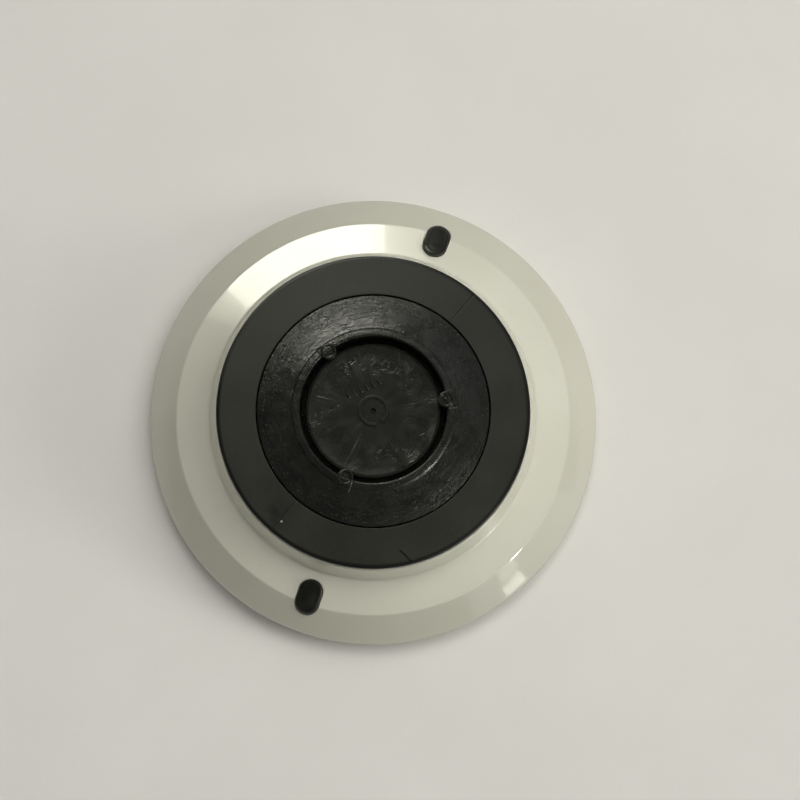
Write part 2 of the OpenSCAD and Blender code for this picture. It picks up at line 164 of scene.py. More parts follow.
def finish_piece(piece, material, slot, body, *nodes):
    """Shades the piece, says what it is made of and what it rides on, and hides the CAD nodes it stands for.
    """
    piece.data.shade_smooth()
    piece.data.set_sharp_from_angle(angle=SHARP_ANGLE)
    piece.data.materials.clear()
    piece.data.materials.append(material)
    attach(piece, body)
    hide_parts(*nodes)
    return piece


def cut(piece, *shapes):
    """Cuts each shape out of the piece, for good."""
    for shape in shapes:
        cutter = mesh_object("cutter", shape)
        boolean = piece.modifiers.new("cut", "BOOLEAN")
        boolean.operation = "DIFFERENCE"
        boolean.solver = "EXACT"
        boolean.object = cutter
        graph = bpy.context.evaluated_depsgraph_get()
        piece.data = bpy.data.meshes.new_from_object(piece.evaluated_get(graph))
        piece.modifiers.clear()
        bpy.data.objects.remove(cutter)


def arc(before, corner, after, radius, steps):
    """Points that round a corner of an outline."""
    before, corner, after = Vector(before), Vector(corner), Vector(after)
    u = (before - corner).normalized()
    v = (after - corner).normalized()
    half = u.angle(v) / 2
    middle = corner + (u + v).normalized() * radius / math.sin(half)
    first = corner + u * radius / math.tan(half) - middle
    turn = first.angle_signed(corner + v * radius / math.tan(half) - middle)
    return [middle + Matrix.Rotation(-turn * i / steps, 2) @ first for i in range(steps + 1)]


def outline(corners, step=ROW_STEP, closed=True, steps=8):
    """An outline from corners (radius, height, rounding), its straight runs split to about the step."""
    count = len(corners)
    bends = []
    for i, (r, z, rounding) in enumerate(corners):
        inner = closed or 0 < i < count - 1
        if rounding and inner:
            bends.append(arc(corners[i - 1][:2], (r, z), corners[(i + 1) % count][:2], rounding, steps))
        else:
            bends.append([Vector((r, z))])
    points = []
    for i, bend in enumerate(bends):
        points += bend
        if i + 1 == count and not closed:
            break
        start, end = bend[-1], bends[(i + 1) % count][0]
        parts = max(1, round((end - start).length / step))
        points += [start.lerp(end, k / parts) for k in range(1, parts)]
    return points


def columns(count, first=0.0):
    return [first + 360 * i / count for i in range(count)]


def on_axis(r, azimuth, z):
    a = math.radians(azimuth)
    return Vector((r * math.cos(a), r * math.sin(a), z))


def at(azimuth, r=0.0, z=0.0):
    """A place at an azimuth and a distance from the axis, with its X pointing outwards."""
    return Matrix.Rotation(math.radians(azimuth), 4, "Z") @ Matrix.Translation((r, 0, z))


def spun(points, azimuths, lift=None, skip=lambda i, k: False):
    """A closed outline turned about the axis. lift raises a point, and skip leaves a face out."""
    verts = []
    for a in azimuths:
        for r, z in points:
            verts.append(on_axis(r, a, z + (lift(a, r, z) if lift else 0)))
    rows, cols = len(points), len(azimuths)
    faces = []
    for i in range(cols):
        j = (i + 1) % cols
        for k in range(rows):
            if not skip(i, k):
                m = (k + 1) % rows
                faces.append((i * rows + k, j * rows + k, j * rows + m, i * rows + m))
    return verts, faces


def bridged(loops):
    """Faces between successive loops of vertex numbers, each as long as the first."""
    count = len(loops[0])
    return [(a[i], a[(i + 1) % count], b[(i + 1) % count], b[i])
            for a, b in zip(loops, loops[1:]) for i in range(count)]


def stadium(direction, length, width):
    """The point of a round-ended slot along X that lies in a direction from its centre."""
    half, radius = (length - width) / 2, width / 2
    x, y = direction.normalized()
    if abs(y) > 1e-9 and abs(x / y) * radius <= half:
        return Vector((x, y)) * radius / abs(y)
    side = math.copysign(half, x)
    reach = x * side + math.sqrt(max(0, (x * side) ** 2 - half * half + radius * radius))
    return Vector((x, y)) * reach


def bar(path, width, height, depth=0.15, steps=6, crown=0.8):
    """A closed bar along points on a surface, sunk by the depth. A smaller crown gives a flatter top."""
    end_taper, least_mitre = 0.35, 0.5
    verts, loops = [], []
    for i, point in enumerate(path):
        ahead = (path[min(i + 1, len(path) - 1)] - path[max(i - 1, 0)]).to_2d().normalized()
        across = Vector((-ahead.y, ahead.x, 0))
        if 0 < i < len(path) - 1:
            into = (path[i] - path[i - 1]).to_2d().normalized()
            across = across / max(least_mitre, abs(ahead.dot(into)))
        end = i in (0, len(path) - 1)
        high_here = height * (end_taper if end else 1)
        loop = []
        for k in range(steps + 1):
            a = math.pi * k / steps
            rise = high_here * math.sin(a) ** crown if 0 < k < steps else 0.0
            loop.append(point - across * math.cos(a) * width / 2 + Vector((0, 0, rise)))
        loop = [point + across * (-width / 2) - Vector((0, 0, depth))] + loop
        loop.append(point + across * width / 2 - Vector((0, 0, depth)))
        loops.append(range(len(verts), len(verts) + len(loop)))
        verts += loop
    faces = bridged(loops)
    faces.append(tuple(reversed(loops[0])))
    faces.append(tuple(loops[-1]))
    return verts, faces


def smooth_path(points, step=0.15, rounding=0.35):
    """A path through points whose corners are rounded."""
    found = [points[0]]
    for before, corner, after in zip(points, points[1:], points[2:]):
        reach = min(rounding, (before - corner).length / 2, (after - corner).length / 2)
        start = corner + (before - corner).normalized() * reach
        end = corner + (after - corner).normalized() * reach
        found += [start.lerp(corner, t).lerp(corner.lerp(end, t), t) for t in (0, 0.25, 0.5, 0.75, 1)]
    found.append(points[-1])
    dense = [found[0]]
    for a, b in zip(found, found[1:]):
        parts = max(1, round((b - a).length / step))
        dense += [a.lerp(b, k / parts) for k in range(1, parts + 1)]
    return dense


def cylinder(radius, low_z, high_z, sides=64):
    return spun([Vector((0, low_z)), Vector((radius, low_z)), Vector((radius, high_z)), Vector((0, high_z))],
                columns(sides))


# ---- Material code ----

class Graph:
    """One material's nodes. Lengths given to it are in millimetres."""

    def __init__(self, name, **settings):
        self.material = bpy.data.materials.new(name)
        self.material.use_nodes = True
        self.tree = self.material.node_tree
        self.shader = self.tree.nodes["Principled BSDF"]
        self.place = self.add("ShaderNodeTexCoord").outputs["Object"]
        for key, value in settings.items():
            self.shader.inputs[key.replace("_", " ")].default_value = value

    def add(self, kind, **values):
        node = self.tree.nodes.new(kind)
        for key, value in values.items():
            setattr(node, key, value)
        return node

    def feed(self, socket, value):
        if isinstance(value, bpy.types.NodeSocket):
            self.tree.links.new(value, socket)
        else:
            socket.default_value = value

    def math(self, operation, *values):
        node = self.add("ShaderNodeMath", operation=operation)
        for socket, value in zip(node.inputs, values):
            self.feed(socket, value)
        return node.outputs[0]

    def noise(self, size, detail=3.0, rough=0.55, place=None, distortion=0.0):
        """Noise whose largest spots are about this size, from 0 to 1."""
        node = self.add("ShaderNodeTexNoise")
        self.feed(node.inputs["Vector"], place or self.place)
        node.inputs["Scale"].default_value = 1 / (size * MM)
        node.inputs["Detail"].default_value = detail
        node.inputs["Roughness"].default_value = rough
        node.inputs["Distortion"].default_value = distortion
        return node.outputs["Fac"]

    def cells(self, size, feature="F1", place=None):
        """Distance to the nearest point of a scatter that is spaced by about this size."""
        node = self.add("ShaderNodeTexVoronoi", feature=feature)
        self.feed(node.inputs["Vector"], place or self.place)
        node.inputs["Scale"].default_value = 1 / (size * MM)
        return node.outputs["Distance"]

    def ridges(self, value, width):
        """Thin lines where a value passes the middle of its range."""
        away = self.math("ABSOLUTE", self.math("SUBTRACT", value, 0.5))
        return self.fade(away, 0.0, width, 1.0, 0.0)

    def near(self, point, inner, outer):
        """One within a distance of a point, fading to nothing at a longer one."""
        node = self.add("ShaderNodeVectorMath", operation="DISTANCE")
        self.feed(node.inputs[0], self.place)
        node.inputs[1].default_value = point * MM
        return self.fade(node.outputs["Value"], inner * MM, outer * MM, 1.0, 0.0)

    def fade(self, value, start, end, low_value=0.0, high_value=1.0):
        """Maps a value from one range to another, with soft ends."""
        node = self.add("ShaderNodeMapRange", interpolation_type="SMOOTHSTEP")
        for socket, number in zip(node.inputs, (value, start, end, low_value, high_value)):
            self.feed(socket, number)
        return node.outputs[0]

    def mix(self, factor, first, second):
        node = self.add("ShaderNodeMix", data_type="RGBA")
        self.feed(node.inputs["Factor"], factor)
        self.feed(node.inputs["A"], first if isinstance(first, bpy.types.NodeSocket) else (*first, 1))
        self.feed(node.inputs["B"], second if isinstance(second, bpy.types.NodeSocket) else (*second, 1))
        return node.outputs["Result"]

    def polar(self, around, along):
        """A place that closes seamlessly round the axis, stretched by around and along, and the radius."""
        split = self.add("ShaderNodeSeparateXYZ")
        self.feed(split.inputs[0], self.place)
        x, y, z = split.outputs
        r = self.math("SQRT", self.math("ADD", self.math("MULTIPLY", x, x), self.math("MULTIPLY", y, y)))
        unit_x, unit_y = self.math("DIVIDE", x, r), self.math("DIVIDE", y, r)
        joined = self.add("ShaderNodeCombineXYZ")
        self.feed(joined.inputs[0], self.math("MULTIPLY", unit_x, around * MM))
        self.feed(joined.inputs[1], self.math("MULTIPLY", unit_y, around * MM))
        self.feed(joined.inputs[2], self.math("MULTIPLY", r, along))
        return joined.outputs[0], r

    def bumped(self, *layers):
        """Relief from layers of (height socket, depth in millimetres)."""
        normal = None
        for height, depth in layers:
            node = self.add("ShaderNodeBump")
            node.inputs["Distance"].default_value = depth * MM
            self.feed(node.inputs["Height"], height)
            if normal:
                self.feed(node.inputs["Normal"], normal)
            normal = node.outputs[0]
        self.feed(self.shader.inputs["Normal"], normal)

    def finish(self, colour=None, roughness=None):
        if colour is not None:
            self.feed(self.shader.inputs["Base Color"], colour)
        if roughness is not None:
            self.feed(self.shader.inputs["Roughness"], roughness)
        return self.material


def glossy_white():
    """Injection-moulded cover: warm off-white with faint orange peel, crisper on the bevel, which is also
    painted darker as shade.
    """
    g = Graph("cover_gloss", Coat_Weight=0.35, Coat_Roughness=0.04, IOR=1.5)
    r = g.polar(HEAD_R, 1)[1]
    broad = g.noise(26, 2)
    fine = g.noise(3.5, 4, 0.6)
    colour = g.mix(g.fade(broad, 0.3, 0.7), (0.655, 0.647, 0.55), (0.685, 0.677, 0.58))
    colour = g.mix(g.fade(fine, 0.62, 0.8, 0, 0.35), colour, (0.56, 0.55, 0.44))
    # painted shade: the bevel is coloured darker than the band
    bevel_painted_shade = g.fade(r, (CREASE_R - 0.4) * MM, (CREASE_R + 0.4) * MM)
    colour = g.mix(g.math("MULTIPLY", bevel_painted_shade, 0.35), colour, (0.465, 0.442, 0.36))
    crisp = g.fade(r, (CREASE_R - 0.9) * MM, (CREASE_R - 0.4) * MM, 1, 0.35)
    roughness = g.math("MULTIPLY", g.fade(g.noise(9, 4, 0.6), 0.3, 0.75, 0.15, 0.23), crisp)
    g.bumped((g.noise(2.2, 2), 0.006), (g.noise(0.5, 2), 0.0012))
    return g.finish(colour, roughness)


def satin_white():
    """Spark-finished white moulding of the base and the chassis."""
    g = Graph("base_satin", IOR=1.5)
    colour = g.mix(g.fade(g.noise(18, 3), 0.3, 0.7), (0.69, 0.675, 0.575), (0.74, 0.725, 0.63))
    colour = g.mix(g.fade(g.noise(1.4, 4), 0.6, 0.85, 0, 0.4), colour, (0.6, 0.585, 0.49))
    roughness = g.fade(g.noise(4, 4), 0.3, 0.7, 0.38, 0.52)
    g.bumped((g.noise(0.35, 3), 0.012), (g.noise(5, 2), 0.02))
    return g.finish(colour, roughness)


def matte_black():
    """Black moulding of the sensor ring: finely textured with a few pale scuffs; its wall is smoother and
    painted darker as shade.
    """
    g = Graph("ring_matte", IOR=1.42)
    r = g.polar(RING_R, 1)[1]
    grain = g.noise(0.32, 3, 0.65)
    broad = g.noise(14, 3)
    colour = g.mix(g.fade(broad, 0.3, 0.72), (0.0135, 0.0146, 0.0095), (0.018, 0.0195, 0.0132))
    colour = g.mix(g.fade(grain, 0.45, 0.75, 0, 0.5), colour, (0.027, 0.0285, 0.0235))
    speck = g.fade(g.cells(2.6), 0.035, 0.06, 1, 0)
    colour = g.mix(g.math("MULTIPLY", speck, g.fade(g.noise(6, 2), 0.56, 0.62)), colour, (0.2, 0.2, 0.18))
    smudge = g.math("MULTIPLY", g.near(on_axis(29.8, WELD_AZIMUTHS[1] - 2, RING_EDGE_Z), 0.5, 4.5),
                    g.fade(g.noise(2.2, 3), 0.35, 0.6, 0.3, 1))
    colour = g.mix(smudge, colour, (0.0045, 0.005, 0.0035))
    chip = g.near(on_axis(30.8, WELD_AZIMUTHS[1] + 1, RING_EDGE_Z + 0.5), 0.16, 0.3)
    colour = g.mix(chip, colour, (0.35, 0.35, 0.32))
    # painted shade: the outer wall is coloured darker; its lower roughness is the wall's smoother finish
    wall = g.fade(r, (RING_R - 1.2) * MM, (RING_R - 0.5) * MM)
    colour = g.mix(wall, colour, (0.003, 0.003, 0.0025))
    roughness = g.math("SUBTRACT", g.fade(broad, 0.3, 0.7, 0.5, 0.62), g.math("MULTIPLY", wall, 0.22))
    g.bumped((grain, 0.03), (g.noise(0.9, 2), 0.01))
    return g.finish(colour, roughness)


def cap_black():
    """Glossy black moulding of the cone: scaly, pitted skin near the seam, uneven patches towards the lip."""
    g = Graph("cap_gloss", IOR=1.5)
    swirl, r = g.polar(16, 2.6)
    scales = g.noise(1.3, 4, 0.62, swirl, 0.8)
    ripples = g.ridges(g.noise(2.6, 3, 0.55, swirl, 1.4), 0.05)
    outer_band = g.fade(r, 18.5 * MM, 23.5 * MM)
    patches = g.noise(5, 3, 0.6, distortion=0.7)
    pits = g.fade(g.cells(0.7), 0.05, 0.3, 1, 0)
    colour = g.mix(g.fade(patches, 0.35, 0.7), (0.005, 0.0057, 0.0038), (0.0084, 0.0094, 0.0066))
    # painted shade: the scaly band towards the seam is coloured darker, offsetting the light its relief
    # catches
    colour = g.mix(g.math("MULTIPLY", outer_band, 0.3), colour, (0.0026, 0.003, 0.0019))
    roughness = g.fade(patches, 0.3, 0.7, 0.22, 0.36)
    relief = g.math("MULTIPLY", g.math("ADD", scales, g.math("MULTIPLY", pits, 0.3)), outer_band)
    g.bumped((relief, 0.18), (ripples, 0.018), (g.noise(3.4, 3, 0.55, swirl, 0.5), 0.14), (patches, 0.13))
    return g.finish(colour, roughness)


def disc_black():
    """Semi-gloss black moulding of the centre disc and its posts: folds and streaks ran out from the gate;
    the folds are also painted lighter as highlight.
    """
    g = Graph("disc_flow", IOR=1.5)
    streaks_place, r = g.polar(3.4, 0.25)
    streaks = g.noise(1.0, 3, 0.6, streaks_place, 0.3)
    mottle = g.noise(3.2, 4, 0.62, distortion=0.8)
    folds_place = g.polar(10, 0.9)[0]
    folds = g.ridges(g.noise(4.2, 2, 0.5, folds_place, 2.2), 0.045)
    where = g.fade(g.noise(6, 2), 0.48, 0.6)
    grain = g.noise(0.6, 3, 0.6)
    off_edge = g.fade(r, (DISC_R - 0.6) * MM, (DISC_R - 0.2) * MM, 1, 0)
    skin = g.math("MULTIPLY", g.fade(r, 5.5 * MM, 9.5 * MM), off_edge)
    flow = g.math("MULTIPLY", streaks, skin)
    lines = g.math("MULTIPLY", g.math("MULTIPLY", folds, where), skin)
    colour = g.mix(g.fade(mottle, 0.2, 0.8), (0.0068, 0.0079, 0.005), (0.0104, 0.012, 0.008))
    # painted highlight: the raised fold lines are coloured lighter, as if catching light
    colour = g.mix(g.math("MULTIPLY", lines, 0.6), colour, (0.04, 0.043, 0.035))
    uneven = g.math("MULTIPLY", g.fade(streaks, 0.35, 0.65, -0.1, 0.12), skin)
    posts = g.fade(r, (DISC_R - 0.4) * MM, (DISC_R - 0.1) * MM, 0, -0.14)
    roughness = g.math("ADD", g.math("ADD", g.fade(mottle, 0.2, 0.8, 0.29, 0.35), uneven), posts)
    g.bumped((flow, 0.24), (lines, 0.05), (mottle, 0.02), (grain, 0.006))
    return g.finish(colour, roughness)


def smoked_lens():
    """Smoked polycarbonate of the light pipes, nearly black and softly glossy."""
    g = Graph("lens_smoked", IOR=1.45)
    depth = g.noise(3, 3)
    colour = g.mix(g.fade(depth, 0.35, 0.7), (0.004, 0.0046, 0.003), (0.0105, 0.0108, 0.0075))
    roughness = g.fade(g.noise(1.2, 3), 0.3, 0.7, 0.3, 0.42)
    g.bumped((g.noise(1.6, 2), 0.02), (g.noise(0.5, 2), 0.004))
    return g.finish(colour, roughness)


def lamp_red():
    """Red moulded lens of the indicator lamps."""
    g = Graph("lamp_lens", IOR=1.5)
    colour = g.mix(g.fade(g.noise(0.8, 3), 0.3, 0.7), (0.42, 0.012, 0.01), (0.6, 0.03, 0.02))
    g.bumped((g.noise(0.2, 2), 0.004))
    return g.finish(colour, g.fade(g.noise(0.5, 2), 0.3, 0.7, 0.2, 0.4))


def metal(name, dull, bright, grain, rough):
    """A metal with fine drawn grain, darker in scattered stains."""
    g = Graph(name, Metallic=1.0)
    stretch = g.add("ShaderNodeMapping")
    stretch.inputs["Scale"].default_value = (1, 1, 6)
    g.feed(stretch.inputs["Vector"], g.place)
    lines = g.noise(grain, 4, 0.65, stretch.outputs[0])
    stains = g.noise(grain * 7, 3)
    colour = g.mix(g.fade(lines, 0.3, 0.7), dull, bright)
    colour = g.mix(g.fade(stains, 0.5, 0.8, 0, 0.6), colour, dull)
    g.bumped((lines, 0.006), (g.noise(grain * 0.4, 2), 0.002))
    return g.finish(colour, g.fade(stains, 0.3, 0.7, rough, rough + 0.16))


def screw_steel():
    return metal("steel_plated", (0.42, 0.43, 0.43), (0.68, 0.69, 0.7), 0.5, 0.26)


def contact_brass():
    return metal("brass_plated", (0.52, 0.38, 0.15), (0.8, 0.62, 0.3), 0.4, 0.22)


def contact_steel():
    return metal("steel_spring", (0.46, 0.45, 0.42), (0.74, 0.73, 0.7), 0.4, 0.2)


def can_aluminium():
    return metal("aluminium_can", (0.6, 0.61, 0.62), (0.84, 0.85, 0.86), 0.35, 0.3)


def lead_wire():
    return metal("wire_tinned", (0.5, 0.5, 0.49), (0.74, 0.74, 0.73), 0.2, 0.25)


def board_green():
    """Solder mask over copper tracks, with plated pads."""
    g = Graph("board_mask", IOR=1.5)
    tracks = g.add("ShaderNodeTexVoronoi", feature="DISTANCE_TO_EDGE")
    g.feed(tracks.inputs["Vector"], g.place)
    tracks.inputs["Scale"].default_value = 1 / (3.2 * MM)
    tracks.inputs["Randomness"].default_value = 0.35
    track = g.fade(tracks.outputs["Distance"], 0.06, 0.09, 1, 0)
    pads = g.fade(g.cells(4.1), 0.1, 0.13, 1, 0)
    weave = g.noise(0.5, 2)
    colour = g.mix(g.fade(weave, 0.3, 0.7), (0.008, 0.085, 0.036), (0.012, 0.11, 0.05))
    colour = g.mix(track, colour, (0.02, 0.17, 0.075))
    colour = g.mix(pads, colour, (0.6, 0.58, 0.52))
    g.bumped((g.math("MAXIMUM", track, pads), 0.035), (weave, 0.004))
    return g.finish(colour, g.fade(weave, 0.3, 0.7, 0.25, 0.36))


def chip_black():
    """Filled epoxy of the chip packages."""
    g = Graph("chip_epoxy", IOR=1.5)
    grain = g.noise(0.18, 3, 0.7)
    colour = g.mix(g.fade(grain, 0.35, 0.75), (0.014, 0.014, 0.015), (0.04, 0.04, 0.042))
    g.bumped((grain, 0.012))
    return g.finish(colour, g.fade(g.noise(1.5, 3), 0.3, 0.7, 0.45, 0.62))


def chip_ceramic():
    """Fired ceramic of the small surface-mounted parts."""
    g = Graph("chip_body", IOR=1.6)
    grain = g.noise(0.15, 3, 0.7)
    colour = g.mix(g.fade(grain, 0.35, 0.7), (0.3, 0.21, 0.12), (0.46, 0.35, 0.22))
    g.bumped((grain, 0.008))
    return g.finish(colour, g.fade(g.noise(0.7, 3), 0.3, 0.7, 0.3, 0.5))


def seal_rubber():
    """Moulded black rubber with a powdery bloom."""
    g = Graph("rubber_seal", IOR=1.5)
    bloom = g.noise(2.5, 4, 0.7)
    colour = g.mix(g.fade(bloom, 0.45, 0.8), (0.02, 0.02, 0.021), (0.075, 0.075, 0.075))
    g.bumped((g.noise(0.3, 3), 0.02))
    return g.finish(colour, g.fade(bloom, 0.3, 0.7, 0.6, 0.85))


def bead_epoxy():
    """Dipped epoxy drop over the thermistor."""
    g = Graph("bead_coat", IOR=1.5, Coat_Weight=0.4)
    colour = g.mix(g.fade(g.noise(0.9, 3), 0.3, 0.7), (0.02, 0.014, 0.01), (0.05, 0.03, 0.018))
    g.bumped((g.noise(0.7, 2), 0.02))
    return g.finish(colour, g.fade(g.noise(0.4, 2), 0.3, 0.7, 0.15, 0.3))


def carrier_nylon():
    """Natural nylon of the thermistor's carrier."""
    g = Graph("nylon_natural", IOR=1.53)
    colour = g.mix(g.fade(g.noise(6, 3), 0.3, 0.7), (0.62, 0.57, 0.44), (0.7, 0.66, 0.53))
    g.bumped((g.noise(0.4, 3), 0.01))
    return g.finish(colour, g.fade(g.noise(2, 3), 0.3, 0.7, 0.35, 0.5))


# ---- Pieces ----

def band_height(r):
    """Height of the cover's outer face between its edge and the foot of the neck, with the crease rounded."""
    middle, half = (HEAD_R + CREASE_R) / 2, (HEAD_R - CREASE_R) / 2
    raised = BEVEL_CROWN * max(0.0, 1 - ((r - middle) / half) ** 2)
    steep, shallow = math.atan(BEVEL_TAN), math.atan(BAND_TAN)
    reach = CREASE_BEND * math.tan((steep - shallow) / 2)
    first, last = CREASE_R + reach * math.cos(steep), CREASE_R - reach * math.cos(shallow)
    if r >= first:
        return EDGE_Z + (HEAD_R - r) * BEVEL_TAN + raised
    if r <= last:
        return CREASE_Z + (CREASE_R - r) * BAND_TAN
    middle_z = CREASE_Z + (CREASE_R - last) * BAND_TAN - CREASE_BEND * math.cos(shallow)
    middle_r = last - CREASE_BEND * math.sin(shallow)
    return middle_z + math.sqrt(CREASE_BEND ** 2 - (r - middle_r) ** 2) + raised


def band_inner_height(r):
    """Height of the cover's inner face there, one wall thickness behind."""
    bevel = EDGE_Z + (HEAD_R - r) * BEVEL_TAN - WALL * math.hypot(1, BEVEL_TAN)
    band = CREASE_Z + (CREASE_R - r) * BAND_TAN - WALL * math.hypot(1, BAND_TAN)
    return min(bevel, band)


def cover_shell():
    """The white cover, with softened mouths round the two light pipes."""
    edge_rounding = 1.0
    bend_step = 0.07
    # where the crowned bevel's slope at the edge would reach the crease
    crowned_z = CREASE_Z + 4 * BEVEL_CROWN
    rim = outline([(SKIRT_R + RIM_LIP, RIM_Z, 0), (HEAD_R, RIM_Z, RIM_ROUNDING),
                   (HEAD_R, EDGE_Z, edge_rounding), (CREASE_R, crowned_z, 0)], closed=False)
    rim = [p for p in rim if p.x > HEAD_R - 1.2]
    bend_zone = [CREASE_R + 9 * bend_step - bend_step * i for i in range(17)]
    bevel_rows = radii(rim[-1].x - 0.3, CREASE_R + 10 * bend_step, 0.3)
    band_rows = radii(CREASE_R - 8 * bend_step, VALLEY_R + 0.9, 0.4)
    face = [Vector((r, band_height(r))) for r in bevel_rows + bend_zone + band_rows]
    foot = outline([(face[-1].x, face[-1].y, 0), (VALLEY_R, VALLEY_Z, 0.8), (NECK_R, NECK_Z, 0.3),
                    (SHELF_R, NECK_Z, 0)], closed=False)[1:]
    outer = rim + face + foot
    window_half = 4.8
    window = [i for i, p in enumerate(outer) if abs(p.x - PIPE_R) < window_half and p.y > EDGE_Z]
    inner_radii = [outer[i].x for i in reversed(window)]
    inner = outline([(SHELF_R, NECK_Z - SHELF_T, 0), (NECK_R - WALL, NECK_Z - SHELF_T, 0),
                     (VALLEY_R - WALL, band_inner_height(VALLEY_R - WALL), 0)], 1.5, closed=False)
    first_inner = len(outer) + len(inner)
    inner += [Vector((r, band_inner_height(r))) for r in inner_radii]
    inner += outline([(SKIRT_R, band_inner_height(SKIRT_R), 0), (SKIRT_R, RIM_Z, RIM_ROUNDING),
                      (SKIRT_R + RIM_LIP, RIM_Z, 0)], 1.5, closed=False)[:-1]
    points = outer + inner
    front_rows = window
    back_rows = [first_inner + len(window) - 1 - i for i in range(len(window))]

    azimuths = columns(COLUMNS, PIPE_AZIMUTHS["light_pipe_1"])
    reach = 8
    windows = [(COLUMNS * turn // 2 - reach) % COLUMNS for turn in range(2)]

    def in_window(i, k):
        inside = any((i - start) % COLUMNS < 2 * reach for start in windows)
        return inside and (front_rows[0] <= k < front_rows[-1] or back_rows[-1] <= k < back_rows[0])

    shape = Shape()
    shape.add(*spun(points, azimuths, skip=in_window))
    for start, azimuth in zip(windows, PIPE_AZIMUTHS.values()):
        pipe_mouth(shape, len(points), start, 2 * reach, front_rows, back_rows, azimuth)
    for azimuth in BOSS_AZIMUTHS:
        top = NECK_Z - SHELF_T / 2
        wall = [(BOSS_HOLE_R, BOSS_LOW_Z, 0), (BOSS_R, BOSS_LOW_Z, 0.2),
                (BOSS_R, top, 0), (BOSS_HOLE_R, top, 0)]
        shape.add(*spun(outline(wall, 4), columns(48)), at(azimuth, BOSS_RING_R))
    return mesh_object("cover_shell", shape)


def radii(start, end, step):
    """Radii from start down to end, evenly spaced by about the step."""
    parts = max(1, round((start - end) / step))
    return [start + (end - start) * i / parts for i in range(parts + 1)]


def pipe_mouth(shape, rows, start, span, front_rows, back_rows, azimuth):
    """Fills a window in the cover's grid with rings of faces that run in to a slotted hole and through it."""
    centre = on_axis(PIPE_R, azimuth, 0)
    turn = at(azimuth).to_3x3()
    length, width = PIPE_L + 2 * PIPE_GAP, PIPE_W + 2 * PIPE_GAP

    def border(rows_out_to_in):
        cols = [(start + i) % COLUMNS for i in range(span + 1)]
        loop = [(c, rows_out_to_in[0]) for c in cols]
        loop += [(cols[-1], k) for k in rows_out_to_in[1:-1]]
        loop += [(c, rows_out_to_in[-1]) for c in reversed(cols)]
        loop += [(cols[0], k) for k in reversed(rows_out_to_in[1:-1])]
        return [c * rows + k for c, k in loop]

    front, back = border(front_rows), border(back_rows)
    local = [(turn.transposed() @ (shape.verts[i] - centre)).to_2d() for i in front]

    def ring(offset, height, towards=0.0, drop=0.0):
        """A loop round the hole: offset from it, part of the way to the window, on a surface or below it."""
        made = []
        for place in local:
            flat = stadium(place, length + 2 * offset, width + 2 * offset).lerp(place, towards)
            world = centre + turn @ flat.to_3d()
            made.append((world.x, world.y, height(math.hypot(world.x, world.y)) - drop))
        first = len(shape.verts)
        shape.verts += [Vector(v) for v in made]
        return list(range(first, first + len(made)))

    loops = [front]
    front_parts, edge_parts, back_parts = 16, 5, 6
    loops += [ring(HOLE_EDGE_R, band_height, 1 - i / front_parts) for i in range(1, front_parts + 1)]
    for i in range(1, edge_parts + 1):
        a = math.radians(90 / edge_parts * i)
        loops.append(ring(HOLE_EDGE_R * (1 - math.sin(a)), band_height, 0, HOLE_EDGE_R * (1 - math.cos(a))))
    for part in (0.3, 0.6):
        loops.append(ring(0, lambda r: (1 - part) * (band_height(r) - HOLE_EDGE_R)
                          + part * band_inner_height(r)))
    loops += [ring(0, band_inner_height, i / back_parts) for i in range(back_parts)]
    loops.append(back)
    shape.faces += bridged(loops)


def pipe_face_height(x, y):
    """Height of a light pipe's domed face at a place in its own plan: a round-ended bar across the crease."""
    half = (PIPE_L - PIPE_W) / 2 + 0.6
    sine, cosine = math.sin(PIPE_TILT), math.cos(PIPE_TILT)
    out = 0.0
    z = PIPE_FOOT_Z
    for _ in range(12):
        z = PIPE_FOOT_Z + (out - x * sine) / cosine
        along = x * cosine - (z - PIPE_FOOT_Z) * sine
        past = max(0.0, abs(along) - half)
        out = PIPE_PROUD - PIPE_DOME_R + math.sqrt(PIPE_DOME_R ** 2 - y * y - past * past)
    return z


def pipe_lens(node, azimuth):
    """One smoked light pipe: a round-ended rod with a domed, shallowly dished and softly edged face."""
    edge = PIPE_EDGE_R
    sides, edge_steps, face_rows = 120, 6, 24
    turns = [math.tau * i / sides for i in range(sides)]
    directions = [Vector((math.cos(a), math.sin(a))) for a in turns]

    def back_height(x):
        return PIPE_FOOT_Z - (PIPE_DEPTH + x * math.sin(PIPE_TILT)) / math.cos(PIPE_TILT)

    shape = Shape()
    loops = []

    def ring(offset, scale, height):
        made = []
        for direction in directions:
            flat = stadium(direction, PIPE_L + 2 * offset, PIPE_W + 2 * offset) * scale
            made.append(Vector((flat.x, flat.y, height(flat))))
        first = len(shape.verts)
        shape.verts += made
        loops.append(list(range(first, first + sides)))

    for scale in (NEARLY_ZERO, 0.5, 1):
        ring(0, scale, lambda p: back_height(p.x))
    for part in (0.25, 0.5, 0.75):
        ring(0, 1, lambda p: (1 - part) * back_height(p.x) + part * (pipe_face_height(p.x, p.y) - edge))
    for i in range(edge_steps + 1):
        a = math.radians(90 / edge_steps * i)
        ring(-edge * (1 - math.cos(a)), 1,
             lambda p: pipe_face_height(p.x, p.y) - edge * (1 - math.sin(a)))
    for i in range(1, face_rows + 1):
        scale = max(NEARLY_ZERO, 1 - i / face_rows)
        sunk = PIPE_DISH * min(1.0, max(0.0, (DISH_EDGE - scale) / DISH_SLOPE))
        ring(-edge, scale, lambda p: pipe_face_height(p.x, p.y) - sunk)
    shape.faces += bridged(loops)
    shape.faces += [tuple(loops[0]), tuple(reversed(loops[-1]))]
    place = at(azimuth, PIPE_R)
    shape.verts = [place @ v for v in shape.verts]
    return mesh_object(node + "_lens", shape)


